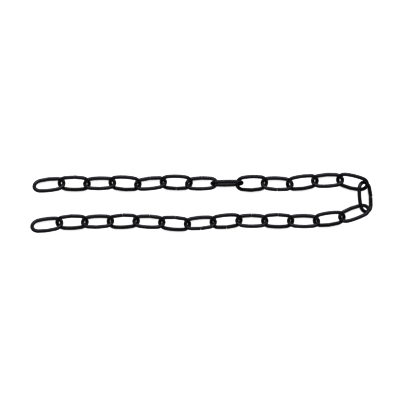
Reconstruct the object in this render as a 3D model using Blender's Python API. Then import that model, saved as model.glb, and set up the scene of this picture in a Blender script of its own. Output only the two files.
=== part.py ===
"""A length of black steel hanging chain, laid on a level floor in a hairpin.

Each link is one piece of round wire, bent to an oval and left open at a butt joint in the
middle of one long side. Metres, +Z up, the runs along X, origin under the middle of the whole.
"""

import math

import bpy
import numpy as np
from mathutils import Matrix, Vector

# The link, outside sizes
WIRE = 0.0045
LINK_LENGTH = 0.0433
LINK_WIDTH = 0.0257

# The jointed side is a shallow roof of two straight halves, and the plain side is one long bow
ROOF_SLOPE = math.radians(6.0)
BOW_SLOPE = math.radians(9.5)
JOINT_GAP = 0.0001

# How the wire is divided
WIRE_SIDES = 8
BEND_STEPS = 9
BOW_STEPS = 2

# Edges sharper than this stay sharp, which leaves the cut ends crisp and the wire smooth
SHARP_EDGE = math.radians(50)

# Clearance between the wires of two links that meet
SEAT_GAP = 0.0003

# How a link is drawn out from the one before: where it starts, its step, and the last step
DRAW_FROM = 0.55 * LINK_LENGTH
DRAW_STEP = 0.002
DRAW_FINE = 0.00001
PATH_STEPS = 10

PAINT_COLOUR = (0.012, 0.012, 0.013, 1.0)
PAINT_ROUGHNESS = 0.38

# From the free end of the far run, round the bend and back along the near run, in degrees:
# bearing of each link's middle from the one before, heading of its length, and lean from flat,
# with the left side raised where positive. Last, the side that holds the butt joint.
LAY = [
    (None, 6, -40, "left"),
    (3, 0, 45, "left"),
    (0, 1, -45, "right"),
    (0, -3, 45, "right"),
    (0, 6, -45, "left"),
    (2, -1, 45, "right"),
    (-2, 1, -43, "left"),
    (0, 1, 83, "right"),
    (0, 2, 39, "right"),
    (-1, -2, -40, "right"),
    (3, 7, 45, "right"),
    (5, 4, -40, "left"),
    (-4, -14, 45, "right"),
    (-50, -86, -38, "left"),
    (-125, -159, 46, "right"),
    (-167, -173, -45, "left"),
    (-175, -180, 45, "left"),
    (-181, -181, -45, "right"),
    (-180, -180, 45, "right"),
    (-179, -175, -45, "left"),
    (-176, -175, 45, "left"),
    (-179, -184, -45, "right"),
    (-184, -183, 45, "right"),
    (-181, -177, -45, "right"),
    (-179, -178, 45, "left"),
    (-179, -177, -45, "right"),
    (-174, -173, 40, "left"),
]

# Where the chain isn't drawn tight: link number, and its slack to the link before
SLACK = {
    2: 0.0006,
    3: 0.0004,
    4: 0.0006,
    5: 0.0002,
    11: 0.0005,
    12: 0.0005,
    13: 0.0006,
    22: 0.0001,
    23: 0.0001,
    24: 0.0001,
    25: 0.0002,
    26: 0.0005,
    27: 0.0006,
}

# The links beside the upright one ride up on it: link number, and the rise of its leading
# end in degrees
RISE = {7: 5, 9: -6}


def clear_scene():
    for item in list(bpy.data.objects):
        bpy.data.objects.remove(item, do_unlink=True)


def half_centreline():
    """Half a link's centreline, from the butt joint to the plain side's middle.

    The points, and the heading of the wire at each.
    """
    length = LINK_LENGTH - WIRE
    width = LINK_WIDTH - WIRE
    roof_rise = math.tan(ROOF_SLOPE)
    bow_rise = math.tan(BOW_SLOPE / 2)
    bend_radius = (width - length / 2 * (roof_rise + bow_rise)) / (
        math.cos(ROOF_SLOPE)
        + math.cos(BOW_SLOPE)
        - (1 - math.sin(ROOF_SLOPE)) * roof_rise
        - (1 - math.sin(BOW_SLOPE)) * bow_rise
    )
    straight = (length / 2 - bend_radius * (1 - math.sin(ROOF_SLOPE))) / math.cos(ROOF_SLOPE)
    bow_radius = (length / 2 - bend_radius * (1 - math.sin(BOW_SLOPE))) / math.sin(BOW_SLOPE)
    cut_back = JOINT_GAP / 2 / math.cos(ROOF_SLOPE) + WIRE / 2 * math.tan(ROOF_SLOPE)

    heading = -ROOF_SLOPE
    way = Vector((math.cos(heading), math.sin(heading)))
    apex = Vector((0.0, width / 2))
    points = [apex + way * cut_back, apex + way * straight]
    headings = [heading, heading]
    bend = (bend_radius, math.pi - ROOF_SLOPE - BOW_SLOPE, BEND_STEPS)
    bow = (bow_radius, BOW_SLOPE, BOW_STEPS)
    for radius, angle, steps in (bend, bow):
        start = points[-1]
        first = headings[-1]
        for step in range(1, steps + 1):
            heading = first - angle * step / steps
            along = math.sin(first) - math.sin(heading)
            across = math.cos(heading) - math.cos(first)
            points.append(start + radius * Vector((along, across)))
            headings.append(heading)
    return points, headings


def centreline():
    """The whole centreline, from one end of the wire round to the other."""
    points, headings = half_centreline()
    # The plain side keeps a straight stretch in its middle, so its last half step is left out
    points, headings = points[:-1], headings[:-1]
    back = [Vector((-point.x, point.y)) for point in reversed(points)]
    back_headings = [-2 * math.pi - heading for heading in reversed(headings)]
    return points + back, headings + back_headings


def link_mesh():
    """The round wire swept along the centreline, closed with flat ends."""
    points, headings = centreline()
    # A polygon with the area of the round wire, with flats that face every 45 degrees
    step = 2 * math.pi / WIRE_SIDES
    corner = WIRE / 2 * math.sqrt(step / math.sin(step))
    corners = [(k + 0.5) * step for k in range(WIRE_SIDES)]
    vertices = []
    for point, heading in zip(points, headings):
        outward = Vector((-math.sin(heading), math.cos(heading)))
        for angle in corners:
            side = point + outward * corner * math.cos(angle)
            vertices.append((side.x, side.y, corner * math.sin(angle)))
    faces = []
    for ring in range(len(points) - 1):
        for k in range(WIRE_SIDES):
            a = ring * WIRE_SIDES + k
            b = ring * WIRE_SIDES + (k + 1) % WIRE_SIDES
            faces.append((a, b, b + WIRE_SIDES, a + WIRE_SIDES))
    last = (len(points) - 1) * WIRE_SIDES
    faces.append(tuple(reversed(range(WIRE_SIDES))))
    faces.append(tuple(range(last, last + WIRE_SIDES)))
    mesh = bpy.data.meshes.new("link")
    mesh.from_pydata(vertices, [], faces)
    mesh.shade_smooth()
    mesh.set_sharp_from_angle(angle=SHARP_EDGE)
    mesh.update()
    return mesh


def attitude(number):
    """The turn that lays a link flat, leans it, tips it and points it along its heading."""
    _, heading, lean, joint = LAY[number - 1]
    roll = math.radians(lean) + (math.pi if joint == "right" else 0.0)
    return (
        Matrix.Rotation(math.radians(heading), 4, "Z")
        @ Matrix.Rotation(-math.radians(RISE.get(number, 0)), 4, "Y")
        @ Matrix.Rotation(roll, 4, "X")
    )


def fine_path():
    """The centreline in short steps, as rows of an array."""
    points, _ = centreline()
    rows = []
    for a, b in zip(points, points[1:]):
        for step in range(PATH_STEPS):
            middle = a.lerp(b, step / PATH_STEPS)
            rows.append((middle.x, middle.y, 0.0))
    return np.array(rows)


def clearance(path, other):
    """The least distance between the surfaces of two wires."""
    apart = path[:, None, :] - other[None, :, :]
    return math.sqrt((apart**2).sum(axis=2).min()) - WIRE


def drawn_out(path, way, before):
    """How far a link moves along its way until its wire meets that of the link before."""
    reach = DRAW_FROM
    step = DRAW_STEP
    while step > DRAW_FINE:
        if clearance(path + way * (reach + step), before) >= SEAT_GAP:
            reach += step
        else:
            step /= 2
    return reach


def lay_links(mesh):
    """The matrix of each link, resting on the floor and linked to the one before."""
    corners = np.array([vertex.co for vertex in mesh.vertices])
    path = fine_path()
    matrices = []
    spot = np.zeros(3)
    for number, (bearing, *_) in enumerate(LAY, start=1):
        turn = attitude(number)
        turned = np.array(turn.to_3x3()).T
        spot[2] = -(corners @ turned)[:, 2].min()
        laid = path @ turned
        if number > 1:
            way = np.array(Matrix.Rotation(math.radians(bearing), 3, "Z").col[0])
            spot += way * (drawn_out(laid + spot, way, before) - SLACK.get(number, 0.0))
        before = laid + spot
        matrices.append(Matrix.Translation(spot) @ turn)
    return matrices


def centred(mesh, placed):
    """The same matrices, moved so that the origin is under the middle of the whole chain."""
    corners = [matrix @ vertex.co for matrix in placed for vertex in mesh.vertices]
    xs = [corner.x for corner in corners]
    ys = [corner.y for corner in corners]
    middle = Vector(((min(xs) + max(xs)) / 2, (min(ys) + max(ys)) / 2, 0.0))
    return [Matrix.Translation(-middle) @ matrix for matrix in placed]


def black_paint():
    material = bpy.data.materials.new("black_paint")
    material.use_nodes = True
    shader = material.node_tree.nodes["Principled BSDF"]
    shader.inputs["Base Color"].default_value = PAINT_COLOUR
    shader.inputs["Roughness"].default_value = PAINT_ROUGHNESS
    shader.inputs["Metallic"].default_value = 0.0
    material.diffuse_color = PAINT_COLOUR
    return material


def build():
    clear_scene()
    mesh = link_mesh()
    mesh.materials.append(black_paint())
    for number, matrix in enumerate(centred(mesh, lay_links(mesh)), start=1):
        link = bpy.data.objects.new(f"link_{number:02d}", mesh)
        link.matrix_world = matrix
        bpy.context.scene.collection.objects.link(link)


build()
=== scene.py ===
"""The looks of a length of hanging chain: open links of round steel wire in satin black enamel."""

import math
import random

import bpy
import numpy as np
from mathutils import Matrix, Vector


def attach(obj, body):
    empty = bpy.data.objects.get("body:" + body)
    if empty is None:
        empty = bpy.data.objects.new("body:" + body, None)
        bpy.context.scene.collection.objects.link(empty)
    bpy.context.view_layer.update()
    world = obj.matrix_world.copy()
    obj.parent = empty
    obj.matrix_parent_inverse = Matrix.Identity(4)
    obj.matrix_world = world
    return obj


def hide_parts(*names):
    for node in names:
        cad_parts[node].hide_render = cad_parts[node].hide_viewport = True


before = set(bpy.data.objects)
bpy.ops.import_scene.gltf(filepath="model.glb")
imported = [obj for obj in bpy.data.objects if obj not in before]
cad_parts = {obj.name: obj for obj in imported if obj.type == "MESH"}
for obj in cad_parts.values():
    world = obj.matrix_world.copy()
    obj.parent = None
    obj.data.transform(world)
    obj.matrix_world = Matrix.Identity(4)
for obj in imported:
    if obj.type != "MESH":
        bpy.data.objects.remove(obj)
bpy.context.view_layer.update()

# The link, outside sizes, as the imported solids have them
WIRE = 0.0045
LINK_LENGTH = 0.0433
LINK_WIDTH = 0.0257
ROOF_SLOPE = math.radians(6.0)
BOW_SLOPE = math.radians(9.5)
JOINT_GAP = 0.0001

# Half a link's centreline: a straight roof from the joint, an end bend, and half of a long bow
RADIUS = WIRE / 2
LENGTH = LINK_LENGTH - WIRE
WIDTH = LINK_WIDTH - WIRE
ROOF_RISE = math.tan(ROOF_SLOPE)
BOW_RISE = math.tan(BOW_SLOPE / 2)
BEND_RADIUS = (WIDTH - LENGTH / 2 * (ROOF_RISE + BOW_RISE)) / (
    math.cos(ROOF_SLOPE)
    + math.cos(BOW_SLOPE)
    - (1 - math.sin(ROOF_SLOPE)) * ROOF_RISE
    - (1 - math.sin(BOW_SLOPE)) * BOW_RISE
)
ROOF_TRAVEL = (LENGTH / 2 - BEND_RADIUS * (1 - math.sin(ROOF_SLOPE))) / math.cos(ROOF_SLOPE)
BEND_TRAVEL = BEND_RADIUS * (math.pi - ROOF_SLOPE - BOW_SLOPE)
BOW_RADIUS = (LENGTH / 2 - BEND_RADIUS * (1 - math.sin(BOW_SLOPE))) / math.sin(BOW_SLOPE)
HALF_TRAVEL = ROOF_TRAVEL + BEND_TRAVEL + BOW_RADIUS * BOW_SLOPE

# A station is a distance round the centreline, from the roof's peak towards +X. The wire starts
# and ends at these two
WIRE_START = JOINT_GAP / 2 / math.cos(ROOF_SLOPE) + RADIUS * ROOF_RISE
WIRE_END = 2 * HALF_TRAVEL - WIRE_START

# Corners of a packed link that agree to this many decimal places of a metre are one
CORNER_PLACES = 7

# How finely the wire is divided, and how the edges of its cut ends are rounded
WIRE_SIDES = 32
RING_SPACING = 0.0007
EDGE_ROUND = 0.00012
EDGE_STEPS = 4

# The radii of the extra rings on a cut end, as shares of its flat part
CAP_SHARES = (0.35, 0.7)

# The joint of each link, as two numbers. First, how wide the V between its ends is at the wire's
# outer side, as a share of the V between ends cut square to the wire: 0 where the ends meet flat,
# and more than 1 where their corners are nipped off. Then how far the +X end stands out past the
# other.
JOINTS = {
    1: (0.1, 0.0),
    2: (1.0, 0.0005),
    3: (0.6, 0.0),
    4: (0.2, 0.0),
    5: (1.5, -0.0001),
    6: (3.4, 0.0003),
    7: (1.3, 0.0),
    8: (0.8, 0.0),
    9: (0.2, 0.0001),
    10: (2.6, -0.0003),
    11: (0.5, 0.0),
    12: (0.3, 0.0001),
    13: (0.2, 0.0),
    14: (3.4, 0.0006),
    15: (0.2, 0.0),
    16: (0.1, 0.0),
    17: (0.8, 0.0001),
    18: (2.0, -0.0002),
    19: (3.1, 0.0),
    20: (3.2, 0.0002),
    21: (2.5, 0.0001),
    22: (1.3, 0.0),
    23: (2.3, -0.0001),
    24: (1.8, 0.0003),
    25: (0.7, 0.0),
    26: (0.3, 0.0001),
    27: (0.8, 0.0),
}

# How far along the wire the slant of a cut end fades out
SLANT_FADE = 0.003

# Unevenness of the drawn wire: a share of its radius, from a few waves of random lengths
WIRE_WAVE = 0.006
WAVE_COUNT = 5
WAVES_PER_WIRE = (2, 14)

# How far either side of a bend's middle the next link has rubbed it, as a share of the bend
RUB_REACH = 0.22

# The enamel, where it is clean and where specks and dust lie
ENAMEL_CLEAN = (0.0082, 0.0080, 0.0107, 1.0)
ENAMEL_DUSTY = (0.0160, 0.0156, 0.0200, 1.0)
ENAMEL_IOR = 1.5

# Its marks, each a noise texture: scale, detail, and scale along the wire as a share of the first
MARKS = {
    "clouds": (140.0, 3.0, 1.0),
    "dust": (2600.0, 2.0, 1.0),
    "specks": (1500.0, 0.0, 1.0),
    "satin": (420.0, 4.0, 1.0),
    "hair scratches": (5200.0, 1.0, 0.03),
    "broad orange peel": (500.0, 1.0, 1.0),
    "fine orange peel": (1500.0, 2.0, 1.0),
    "drawing lines": (2200.0, 3.0, 0.02),
    "cut grain": (4500.0, 4.0, 1.0),
}

# Some marks use only a part of their noise: its range, and the range that it becomes
MARK_RANGES = {
    "clouds": ((0.3, 0.7), (0.0, 0.5)),
    "dust": ((0.5, 0.75), (0.0, 0.5)),
    "specks": ((0.74, 0.8), (0.0, 2.0)),
    "satin": ((0.3, 0.7), (0.30, 0.44)),
    "hair scratches": ((0.62, 0.7), (0.0, 0.12)),
}

# What the rub of the next link, a speck and a cut end add to the roughness
RUB_GLOSS = -0.1
SPECK_DULLNESS = 0.08
CUT_DULLNESS = 0.15

# How high the marks stand against the fine orange peel, and how high the whole relief is
BROAD_PEEL_HEIGHT = 1.5
LINE_HEIGHT = 0.6
GRAIN_HEIGHT = 3.0
SPECK_HEIGHT = 0.2
RELIEF_STRENGTH = 0.6
RELIEF_DEPTH = 0.0001

# The view, nearly overhead and a little from the near side: the picture's width at the aim, the
# aim, how far and how high the camera stands from it, and how far the camera sees
IMAGE_WIDTH = 0.5264
CAMERA_AIM = Vector((-0.00254, 0.00411, 0.0))
CAMERA_DISTANCE = 1.4476
CAMERA_ELEVATION = math.radians(86.07)
CAMERA_REACH = 50.0
SENSOR_MM = 36.0

# The floor, a little lower than the undersides of the uneven wires
FLOOR_SIZE = 16.0
FLOOR_DROP = 0.0003
FLOOR_SHADE = 0.15
FLOOR_ROUGHNESS = 0.9
FLOOR_GLOW = 0.98

# Painted contact shadow: the floor's glow dims where wires within this reach leave less than this
# share of its surroundings open
CONTACT_REACH = 0.005
CONTACT_OPEN = 0.75

# Soft boxes that face the chain: place, width and height, and power in watts
SOFT_BOXES = {
    "far": ((0.0, 1.31, 0.92), (2.4, 0.6), 60.0),
    "far_low": ((0.0, 1.57, 0.33), (2.4, 0.6), 2.5),
    "overhead": ((0.0, 0.13, 1.8), (1.2, 0.6), 1.5),
    "near_low": ((0.0, -1.5, 0.45), (2.4, 0.6), 6.0),
}

# The colour of the soft boxes and of the dim sky, and how strongly the sky glows
SKY_COLOUR = (0.91, 0.89, 1.0)
SKY_GLOW = 0.09
WHITE = (1.0, 1.0, 1.0, 1.0)

# Points of the print's tone curve, between black and white: light in, light shown
TONE_CURVE = ((0.035, 0.0105), (0.15, 0.042), (0.3, 0.117), (0.5, 0.32), (0.75, 0.664))

# Of the view's four curves, the one that red, green and blue share
SHARED_CURVE = 3


def link_pose(node):
    """The frame of a packed link: its length along X, its jointed side at +Y, its flat along Z."""
    corners = np.array([vertex.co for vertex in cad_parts[node].data.vertices])
    corners = np.unique(np.round(corners, CORNER_PLACES), axis=0)
    middle = corners.mean(axis=0)
    offsets = corners - middle
    _, _, axes = np.linalg.svd(offsets, full_matrices=False)
    along = axes[0] * np.sign(axes[0][np.argmax(np.abs(axes[0]))])
    beside_joint = offsets[np.abs(offsets @ along) < 2 * WIRE_START]
    joint_height = (beside_joint @ axes[1]).mean()
    across = axes[1] * np.sign(joint_height)
    # The two ends lie a hair below the peak where the roof's slopes would meet
    peak = WIDTH / 2 - WIRE_START * math.sin(ROOF_SLOPE)
    origin = middle + across * (abs(joint_height) - peak)
    columns = (along, across, np.cross(along, across), origin)
    return Matrix([[*row, 0.0] for row in columns[:3]] + [[*origin, 1.0]]).transposed()


def half_point(travel):
    """A point of half the centreline, at a distance along the wire from the roof's peak."""
    roof = min(travel, ROOF_TRAVEL)
    x = roof * math.cos(ROOF_SLOPE)
    y = WIDTH / 2 - roof * math.sin(ROOF_SLOPE)
    left = travel - roof
    heading = -ROOF_SLOPE
    # The bow takes all that the bend leaves
    for radius, length in ((BEND_RADIUS, BEND_TRAVEL), (BOW_RADIUS, HALF_TRAVEL)):
        part = min(left, length)
        turned = heading - part / radius
        x += radius * (math.sin(heading) - math.sin(turned))
        y += radius * (math.cos(turned) - math.cos(heading))
        left -= part
        heading = turned
    return x, y


def from_peak(station):
    """The distance from the roof's peak along the wire, the shorter way round."""
    return min(station, 2 * HALF_TRAVEL - station)


def path_point(station, step_out):
    """A point of the whole centreline, which starts at the +X side of the roof's peak."""
    travel = from_peak(station)
    side = 1.0 if station < HALF_TRAVEL else -1.0
    x, y = half_point(travel)
    # Each half of the roof springs out or in a little towards its end
    spring = max(0.0, 1 - travel / ROOF_TRAVEL) ** 2
    return np.array((side * x, y + side * step_out / 2 * spring))


def path_way(station, step_out):
    """The direction of the centreline, as a vector of length 1."""
    reach = RING_SPACING / 2
    way = path_point(station + reach, step_out) - path_point(station - reach, step_out)
    return way / np.linalg.norm(way)


def slant(station):
    """How steeply a cut end leans towards the other, so that the two would meet flat."""
    from_end = min(station - WIRE_START, WIRE_END - station)
    towards = 1.0 if station > HALF_TRAVEL else -1.0
    return towards * ROOF_RISE * max(0.0, 1 - max(0.0, from_end - EDGE_ROUND) / SLANT_FADE)


def wear(station):
    """How much the next link wears the wire, up to 1 in the middle of a bend."""
    into_bend = min(max((from_peak(station) - ROOF_TRAVEL) / BEND_TRAVEL, 0.0), 1.0)
    return max(0.0, 1 - abs(into_bend - 0.5) / RUB_REACH)


def waves(rng):
    """An uneven, smooth function of the share of the wire's length, from about -1 to 1."""
    terms = []
    for _ in range(WAVE_COUNT):
        turns = rng.uniform(*WAVES_PER_WIRE)
        phase = rng.uniform(0, 2 * math.pi)
        terms.append((2 * math.pi * turns, phase))
    return lambda share: sum(math.sin(rate * share + phase) for rate, phase in terms) / WAVE_COUNT


def ring_list():
    """Each ring as its station on the wire, its share of the radius, and 1 on a cut end."""
    edge_share = EDGE_ROUND / RADIUS
    flat = 1 - edge_share
    end = [(0.0, share * flat, 1.0) for share in CAP_SHARES]
    for step in range(EDGE_STEPS + 1):
        turn = math.pi / 2 * step / EDGE_STEPS
        push = EDGE_ROUND * (1 - math.cos(turn))
        end.append((push, flat + edge_share * math.sin(turn), 1.0))
    near = WIRE_START + 2 * EDGE_ROUND
    far = WIRE_END - 2 * EDGE_ROUND
    middle = np.linspace(near, far, round((far - near) / RING_SPACING) + 1)
    rings = [(WIRE_START + push, share, cut) for push, share, cut in end]
    rings += [(station, 1.0, 0.0) for station in middle]
    rings += [(WIRE_END - push, share, cut) for push, share, cut in reversed(end)]
    return rings


def ring_points(number, uneven, station, share, angles):
    """Points of one ring: the place of each, its place on the wire pulled straight, its rub."""
    nip, step_out = JOINTS[number]
    swell, skew = uneven
    centre = path_point(station, step_out)
    way = path_way(station, step_out)
    outward = np.array((-way[1], way[0]))
    lean = slant(station)
    worn = wear(station)
    part = (station - WIRE_START) / (WIRE_END - WIRE_START)
    size = RADIUS * share * (1 + WIRE_WAVE * swell(part))
    points = []
    for angle in angles:
        wobble = 1 + WIRE_WAVE / 2 * skew(part) * math.cos(2 * angle)
        out = size * wobble * math.cos(angle)
        rise = size * wobble * math.sin(angle)
        # Counted from the wire's inner side, where the ends keep just the joint's own gap
        height = out + RADIUS
        closing = lean * height * (1 - nip * height / (2 * RADIUS))
        place = centre + outward * out + way * closing
        # Each link takes its marks from another metre of the wire, and is rubbed on its inner side
        straight = (station + number, out, rise)
        rub = worn * max(0.0, -math.cos(angle))
        points.append(((*place, rise), straight, rub))
    return points


def wire_faces(ring_count):
    """Quads from ring to ring, and a fan on each cut end, whose middle follows all the rings."""
    last = (ring_count - 1) * WIRE_SIDES
    first_middle = last + WIRE_SIDES
    last_middle = first_middle + 1
    steps = [(k, (k + 1) % WIRE_SIDES) for k in range(WIRE_SIDES)]
    faces = []
    for ring in range(0, last, WIRE_SIDES):
        following = ring + WIRE_SIDES
        faces += [(ring + a, ring + b, following + b, following + a) for a, b in steps]
    faces += [(first_middle, b, a) for a, b in steps]
    faces += [(last_middle, last + a, last + b) for a, b in steps]
    return faces


def link_mesh(number):
    """One link's wire, swept round its centreline, with rounded edges at its cut ends."""
    rng = random.Random(number)
    uneven = (waves(rng), waves(rng))
    angles = [2 * math.pi * k / WIRE_SIDES for k in range(WIRE_SIDES)]
    rings = ring_list()
    points = []
    cuts = []
    for station, share, cut in rings:
        points += ring_points(number, uneven, station, share, angles)
        cuts += [cut] * WIRE_SIDES
    # The middle of each cut end
    for station in (WIRE_START, WIRE_END):
        points += ring_points(number, uneven, station, 0.0, [0.0])
        cuts.append(1.0)
    places, straight, rubs = zip(*points)
    mesh = bpy.data.meshes.new(f"chain_link_{number:02d}")
    mesh.from_pydata(places, [], wire_faces(len(rings)))
    mesh.shade_smooth()
    wire_space = mesh.attributes.new("wire_space", "FLOAT_VECTOR", "POINT")
    wire_space.data.foreach_set("vector", np.ravel(straight))
    mesh.attributes.new("rub", "FLOAT", "POINT").data.foreach_set("value", rubs)
    mesh.attributes.new("cut", "FLOAT", "POINT").data.foreach_set("value", cuts)
    mesh.update()
    return mesh


def attribute(tree, name, output="Fac"):
    """A value that the links' meshes carry, read by one node for each name."""
    node = tree.nodes.get(name) or tree.nodes.new("ShaderNodeAttribute")
    node.name = name
    node.attribute_name = name
    return node.outputs[output]


def mark(tree, name):
    """A mark's noise, on the wire pulled straight."""
    scale, detail, along = MARKS[name]
    mapping = tree.nodes.new("ShaderNodeMapping")
    mapping.inputs["Scale"].default_value = (along, 1.0, 1.0)
    tree.links.new(attribute(tree, "wire_space", "Vector"), mapping.inputs["Vector"])
    texture = tree.nodes.new("ShaderNodeTexNoise")
    texture.inputs["Scale"].default_value = scale
    texture.inputs["Detail"].default_value = detail
    tree.links.new(mapping.outputs["Vector"], texture.inputs["Vector"])
    return texture.outputs["Fac"]


def ranged_mark(tree, name):
    """A mark's noise with a part of its range spread over another."""
    given, wanted = MARK_RANGES[name]
    node = tree.nodes.new("ShaderNodeMapRange")
    node.inputs["From Min"].default_value = given[0]
    node.inputs["From Max"].default_value = given[1]
    node.inputs["To Min"].default_value = wanted[0]
    node.inputs["To Max"].default_value = wanted[1]
    tree.links.new(mark(tree, name), node.inputs["Value"])
    return node.outputs["Result"]


def maths(tree, operation, *values):
    """A sum or product of numbers and of other nodes' values."""
    node = tree.nodes.new("ShaderNodeMath")
    node.operation = operation
    for socket, value in zip(node.inputs, values):
        if isinstance(value, float):
            socket.default_value = value
        else:
            tree.links.new(value, socket)
    return node.outputs["Value"]


def enamel_colour(tree, specks):
    """Blue black, greyer where fine dust and a few larger specks lie."""
    dust = maths(tree, "ADD", ranged_mark(tree, "clouds"), ranged_mark(tree, "dust"))
    mix = tree.nodes.new("ShaderNodeMix")
    mix.data_type = "RGBA"
    mix.clamp_factor = False
    mix.inputs["A"].default_value = ENAMEL_CLEAN
    mix.inputs["B"].default_value = ENAMEL_DUSTY
    tree.links.new(maths(tree, "ADD", dust, specks), mix.inputs["Factor"])
    return mix.outputs["Result"]


def enamel_roughness(tree, specks):
    """Uneven satin with hair scratches along the wire, glossier where the next link has rubbed.

    It is duller in specks and on the cut ends.
    """
    plain = maths(tree, "ADD", ranged_mark(tree, "satin"), ranged_mark(tree, "hair scratches"))
    rubbed = maths(tree, "MULTIPLY_ADD", attribute(tree, "rub"), RUB_GLOSS, plain)
    speckled = maths(tree, "MULTIPLY_ADD", specks, SPECK_DULLNESS, rubbed)
    return maths(tree, "MULTIPLY_ADD", attribute(tree, "cut"), CUT_DULLNESS, speckled)


def enamel_relief(tree, specks):
    """Orange peel, long faint drawing lines, specks, and the grain of the cut ends."""
    broad = mark(tree, "broad orange peel")
    fine = mark(tree, "fine orange peel")
    peel = maths(tree, "MULTIPLY_ADD", broad, BROAD_PEEL_HEIGHT, fine)
    lined = maths(tree, "MULTIPLY_ADD", mark(tree, "drawing lines"), LINE_HEIGHT, peel)
    grain_height = maths(tree, "MULTIPLY", attribute(tree, "cut"), GRAIN_HEIGHT)
    grain = maths(tree, "MULTIPLY", mark(tree, "cut grain"), grain_height)
    raised = maths(tree, "MULTIPLY", specks, SPECK_HEIGHT)
    bump = tree.nodes.new("ShaderNodeBump")
    bump.inputs["Strength"].default_value = RELIEF_STRENGTH
    bump.inputs["Distance"].default_value = RELIEF_DEPTH
    relief = maths(tree, "ADD", lined, maths(tree, "ADD", grain, raised))
    tree.links.new(relief, bump.inputs["Height"])
    return bump.outputs["Normal"]


def black_enamel():
    """Satin black enamel on drawn wire: orange peel, faint drawing lines, dust and rubbed spots."""
    material = bpy.data.materials.new("satin_black_enamel")
    material.use_nodes = True
    tree = material.node_tree
    shader = tree.nodes["Principled BSDF"]
    shader.inputs["Metallic"].default_value = 0.0
    shader.inputs["IOR"].default_value = ENAMEL_IOR
    specks = ranged_mark(tree, "specks")
    tree.links.new(enamel_colour(tree, specks), shader.inputs["Base Color"])
    tree.links.new(enamel_roughness(tree, specks), shader.inputs["Roughness"])
    tree.links.new(enamel_relief(tree, specks), shader.inputs["Normal"])
    return material


def place_links():
    enamel = black_enamel()
    for number, node in enumerate(sorted(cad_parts), start=1):
        link = bpy.data.objects.new(f"chain_{node}", link_mesh(number))
        link.data.transform(link_pose(node))
        link.data.materials.append(enamel)
        bpy.context.scene.collection.objects.link(link)
        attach(link, "root")
        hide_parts(node)


def white_floor():
    """A plain white that glows, so that shadows stay faint, with painted contact shadow: its glow
    dims where wires are close.
    """
    material = bpy.data.materials.new("white_floor")
    material.use_nodes = True
    tree = material.node_tree
    shader = tree.nodes["Principled BSDF"]
    shader.inputs["Base Color"].default_value = (FLOOR_SHADE, FLOOR_SHADE, FLOOR_SHADE, 1.0)
    shader.inputs["Roughness"].default_value = FLOOR_ROUGHNESS
    shader.inputs["Specular IOR Level"].default_value = 0.0
    shader.inputs["Emission Color"].default_value = WHITE
    # Painted shade: ambient occlusion turns the glow down under and between the wires, in place of a
    # cast contact shadow
    painted_shade_occlusion = tree.nodes.new("ShaderNodeAmbientOcclusion")
    painted_shade_occlusion.inputs["Distance"].default_value = CONTACT_REACH
    glow = tree.nodes.new("ShaderNodeMapRange")
    glow.inputs["From Max"].default_value = CONTACT_OPEN
    glow.inputs["To Max"].default_value = FLOOR_GLOW
    tree.links.new(painted_shade_occlusion.outputs["AO"], glow.inputs["Value"])
    tree.links.new(glow.outputs["Result"], shader.inputs["Emission Strength"])
    return material


def lay_floor():
    bpy.ops.mesh.primitive_plane_add(size=FLOOR_SIZE, location=(0, 0, -FLOOR_DROP))
    floor = bpy.context.object
    floor.name = "floor"
    floor.data.materials.append(white_floor())
    # The glow is for the eye alone, and the enamel neither mirrors it nor is lit by it
    floor.visible_glossy = False
    floor.visible_diffuse = False


def set_soft_boxes():
    for name, (place, size, watts) in SOFT_BOXES.items():
        data = bpy.data.lights.new(name, "AREA")
        data.shape = "RECTANGLE"
        data.size, data.size_y = size
        data.energy = watts
        data.color = SKY_COLOUR
        light = bpy.data.objects.new(name, data)
        light.location = place
        light.rotation_euler = (-Vector(place)).to_track_quat("-Z", "Y").to_euler()
        bpy.context.scene.collection.objects.link(light)


def set_sky():
    """A dim sky for the light, and for the eye the floor's own white past the floor's edge."""
    world = bpy.data.worlds.new("studio")
    bpy.context.scene.world = world
    world.use_nodes = True
    tree = world.node_tree
    dim = tree.nodes["Background"]
    dim.inputs["Color"].default_value = (*SKY_COLOUR, 1.0)
    dim.inputs["Strength"].default_value = SKY_GLOW
    white = tree.nodes.new("ShaderNodeBackground")
    white.inputs["Color"].default_value = WHITE
    rays = tree.nodes.new("ShaderNodeLightPath")
    mix = tree.nodes.new("ShaderNodeMixShader")
    by_eye, for_light, for_eye = mix.inputs
    tree.links.new(rays.outputs["Is Camera Ray"], by_eye)
    tree.links.new(dim.outputs["Background"], for_light)
    tree.links.new(white.outputs["Background"], for_eye)
    tree.links.new(mix.outputs["Shader"], tree.nodes["World Output"].inputs["Surface"])


def set_tones():
    """Print tones: shadows and the half tones of thin edges are held down, and white stays white."""
    view = bpy.context.scene.view_settings
    view.view_transform = "Standard"
    view.use_curve_mapping = True
    curve = view.curve_mapping.curves[SHARED_CURVE]
    for light, shown in TONE_CURVE:
        curve.points.new(light, shown)
    view.curve_mapping.update()


def set_camera():
    data = bpy.data.cameras.new("camera")
    data.sensor_width = SENSOR_MM
    data.lens = SENSOR_MM * CAMERA_DISTANCE / IMAGE_WIDTH
    data.clip_end = CAMERA_REACH
    camera = bpy.data.objects.new("camera", data)
    back = Vector((0.0, -math.cos(CAMERA_ELEVATION), math.sin(CAMERA_ELEVATION)))
    camera.location = CAMERA_AIM + back * CAMERA_DISTANCE
    camera.rotation_euler = (-back).to_track_quat("-Z", "Y").to_euler()
    bpy.context.scene.collection.objects.link(camera)
    bpy.context.scene.camera = camera


set_camera()
place_links()
lay_floor()
set_soft_boxes()
set_sky()
set_tones()
